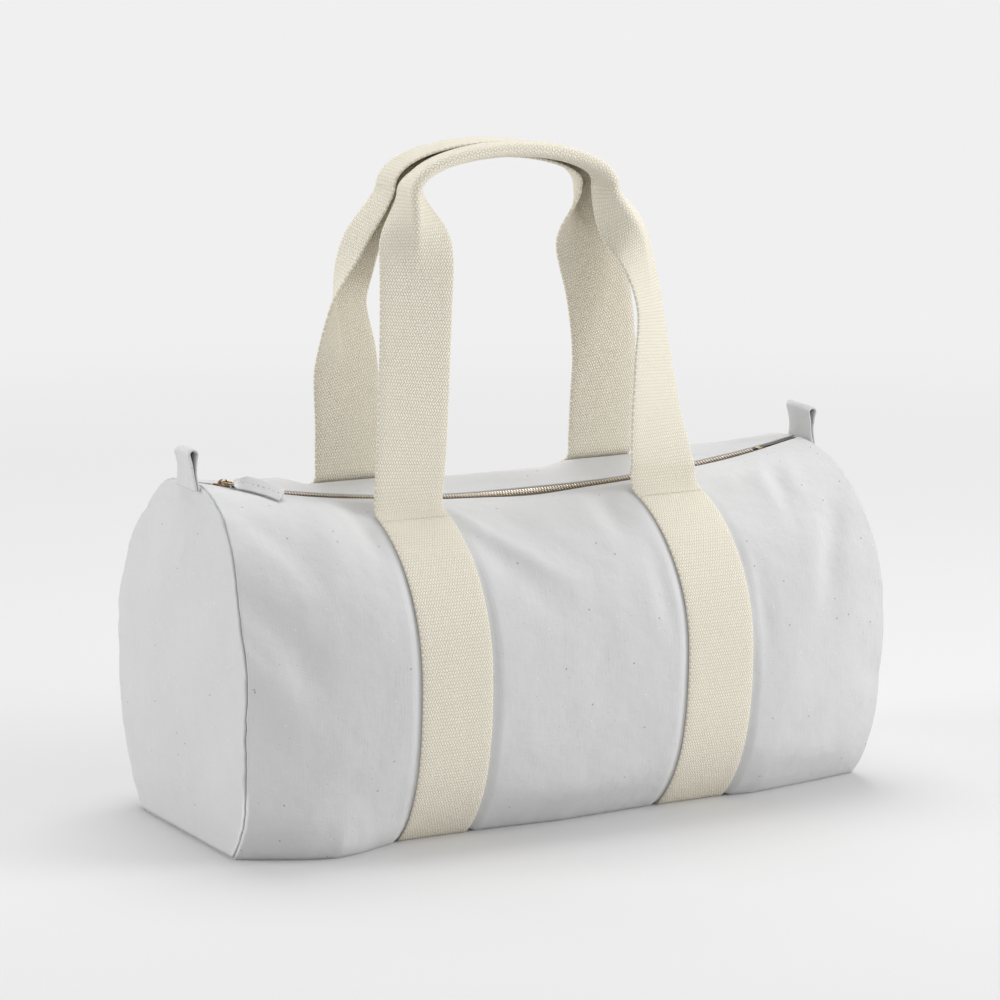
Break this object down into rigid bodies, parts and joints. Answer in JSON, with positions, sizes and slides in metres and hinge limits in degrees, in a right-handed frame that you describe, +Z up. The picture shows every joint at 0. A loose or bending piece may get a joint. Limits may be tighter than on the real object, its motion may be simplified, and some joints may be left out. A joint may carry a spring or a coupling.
{
  "type": "barrel bag",
  "caption": "Soft canvas barrel bag with a brass zip along the top, webbing straps that run round the body into tall carrying handles, and fabric tabs at the ends",
  "frame": {"origin": "centre of the base on the floor, at the middle of the bounding box", "axes": "X along the barrel from the closed end of the zip (-X) to its open end (+X), Y across the bag with the front at -Y, Z up"},
  "size_m": [0.504, 0.239, 0.4552],
  "materials": {
    "canvas": "matte",
    "webbing": "matte",
    "zip_tape": "matte",
    "brass": "satin"
  },
  "bodies": {
    "bag": {"body_panel": "canvas", "left_end_panel": "canvas", "right_end_panel": "canvas", "left_seam_binding": "zip_tape", "right_seam_binding": "zip_tape", "left_strap": "webbing", "right_strap": "webbing", "front_zip_tape": "zip_tape", "back_zip_tape": "zip_tape", "front_zip_teeth": "brass", "back_zip_teeth": "brass", "zip_top_stops": "brass", "zip_bottom_stop": "brass", "left_end_tab": "canvas", "right_end_tab": "canvas"},
    "slider": {"slider_body": "brass"},
    "ring": {"pull_ring": "brass"},
    "pull": {"canvas_pull": "canvas"},
    "front_handle": {"front_handle": "webbing"},
    "back_handle": {"back_handle": "webbing"}
  },
  "joints": [
    {"name": "slider_travel", "type": "hinge", "parent": "bag", "child": "slider", "pos_m": [0.01751, 0, 1.39961], "axis": [0, -1, 0], "range_deg": [0, 20.08], "deforming": ["front_zip_teeth", "back_zip_teeth", "front_zip_tape", "back_zip_tape"]},
    {"name": "ring_swing", "type": "hinge", "parent": "slider", "child": "ring", "pos_m": [-0.21514, 0, 0.23764], "axis": [-0.617, -0.7771, 0.124], "range_deg": [0, 80]},
    {"name": "pull_swing", "type": "hinge", "parent": "ring", "child": "pull", "pos_m": [-0.20905, -0.00504, 0.23641], "axis": [-0.617, -0.7771, 0.124], "range_deg": [0, 40]},
    {"name": "front_handle_fold", "type": "hinge", "parent": "bag", "child": "front_handle", "pos_m": [0, -0.0436, 0.21724], "axis": [1, 0, 0], "range_deg": [0, 110]},
    {"name": "back_handle_fold", "type": "hinge", "parent": "bag", "child": "back_handle", "pos_m": [0, 0.0436, 0.22524], "axis": [-1, 0, 0], "range_deg": [0, 110]}
  ]
}
